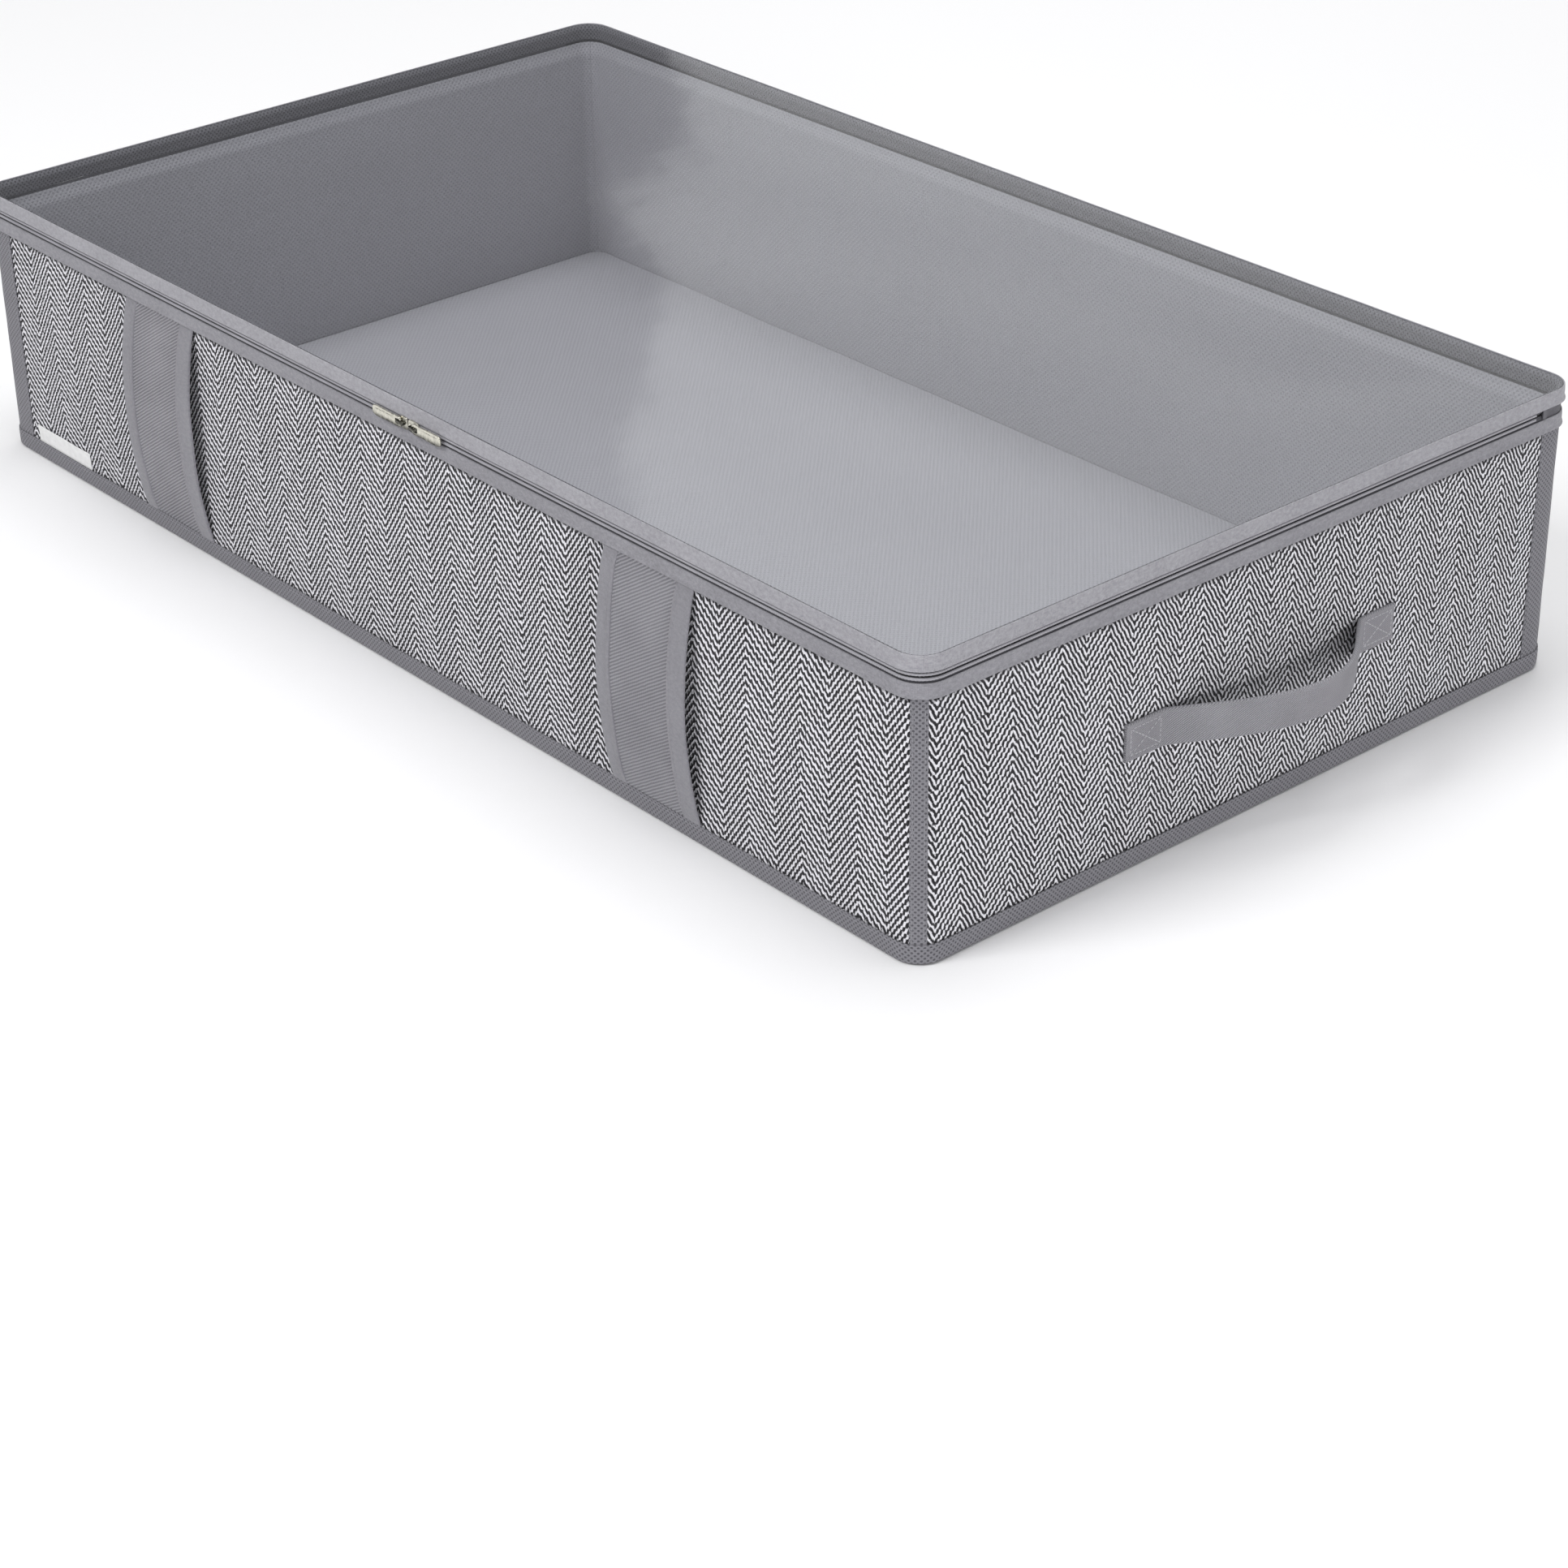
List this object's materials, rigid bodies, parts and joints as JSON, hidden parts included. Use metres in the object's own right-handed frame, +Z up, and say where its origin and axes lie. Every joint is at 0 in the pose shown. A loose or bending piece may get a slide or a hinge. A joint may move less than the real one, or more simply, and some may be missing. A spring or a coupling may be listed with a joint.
{
  "type": "under bed storage box",
  "caption": "Low rectangular herringbone fabric box for under a bed, with a clear window lid, a wraparound zip, front grip bands and an end handle.",
  "frame": {"origin": "middle of the underside of the base", "axes": "+X along the long front towards the end with the handle, -Y towards the front, +Z up"},
  "size_m": [0.8328, 0.4611, 0.16],
  "materials": {
    "woven_wall": "black and white herringbone weave",
    "board": "plain board, hidden",
    "lining": "grey non-woven",
    "dotted_tape": "dark grey non-woven with embossed dots",
    "rim_band": "smooth light grey tape",
    "zip_tape": "dark grey tape",
    "zip_coil": "light grey coil",
    "clear_window": "clear soft plastic",
    "webbing": "grey twill tape",
    "thread": "grey sewing thread",
    "label": "blank white satin",
    "zip_metal": "bright champagne metal"
  },
  "bodies": {
    "tub": {"base_fabric": "lining", "base_board": "board", "base_lining": "lining", "front_panel": "woven_wall", "rear_panel": "woven_wall", "left_end_panel": "woven_wall", "right_end_panel": "woven_wall", "front_board": "board", "rear_board": "board", "left_end_board": "board", "right_end_board": "board", "front_lining": "lining", "rear_lining": "lining", "left_end_lining": "lining", "right_end_lining": "lining", "bottom_binding": "dotted_tape", "front_left_binding": "dotted_tape", "front_right_binding": "dotted_tape", "rear_left_binding": "dotted_tape", "rear_right_binding": "dotted_tape", "lower_rim_band": "rim_band", "lower_zip_tape": "zip_tape", "lower_zip_chain": "zip_coil", "left_zip_stop": "zip_coil", "right_zip_stop": "zip_coil", "rear_rim_strip": "zip_tape", "rear_upper_band": "rim_band", "rear_inner_flap": "dotted_tape", "rear_window_margin": "clear_window", "front_grip_left": "webbing", "front_grip_right": "webbing", "handle_front_tab": "webbing", "handle_rear_tab": "webbing", "front_tab_stitching": "thread", "rear_tab_stitching": "thread", "blank_label": "label"},
    "lid": {"lid_window": "clear_window", "lid_upper_band": "rim_band", "lid_inner_flap": "dotted_tape", "upper_zip_tape": "zip_tape", "upper_zip_chain": "zip_coil"},
    "handle": {"handle_loop": "webbing"},
    "left_slider": {"left_slider": "zip_metal"},
    "left_pull": {"left_pull": "zip_metal"},
    "right_slider": {"right_slider": "zip_metal"},
    "right_pull": {"right_pull": "zip_metal"}
  },
  "joints": [
    {"name": "lid_fold", "type": "hinge", "parent": "tub", "child": "lid", "pos_m": [0, 0.2, 0.161], "axis": [-1, 0, 0], "range_deg": [0, 175]},
    {"name": "handle_swing", "type": "hinge", "parent": "tub", "child": "handle", "pos_m": [0.401, 0, 0.0705], "axis": [0, -1, 0], "range_deg": [-50, 50], "stiffness_Nm_per_rad": 0.02},
    {"name": "left_slider_travel", "type": "slide", "parent": "tub", "child": "left_slider", "axis": [-1, 0, 0], "range_m": [0, 0.394]},
    {"name": "left_pull_swing", "type": "hinge", "parent": "left_slider", "child": "left_pull", "pos_m": [0.0187, -0.22875, 0.14925], "axis": [0, 0, 1], "range_deg": [0, 100]},
    {"name": "right_slider_travel", "type": "slide", "parent": "tub", "child": "right_slider", "axis": [1, 0, 0], "range_m": [0, 0.346]},
    {"name": "right_pull_swing", "type": "hinge", "parent": "right_slider", "child": "right_pull", "pos_m": [0.0293, -0.22875, 0.14925], "axis": [0, 0, -1], "range_deg": [0, 100]}
  ]
}
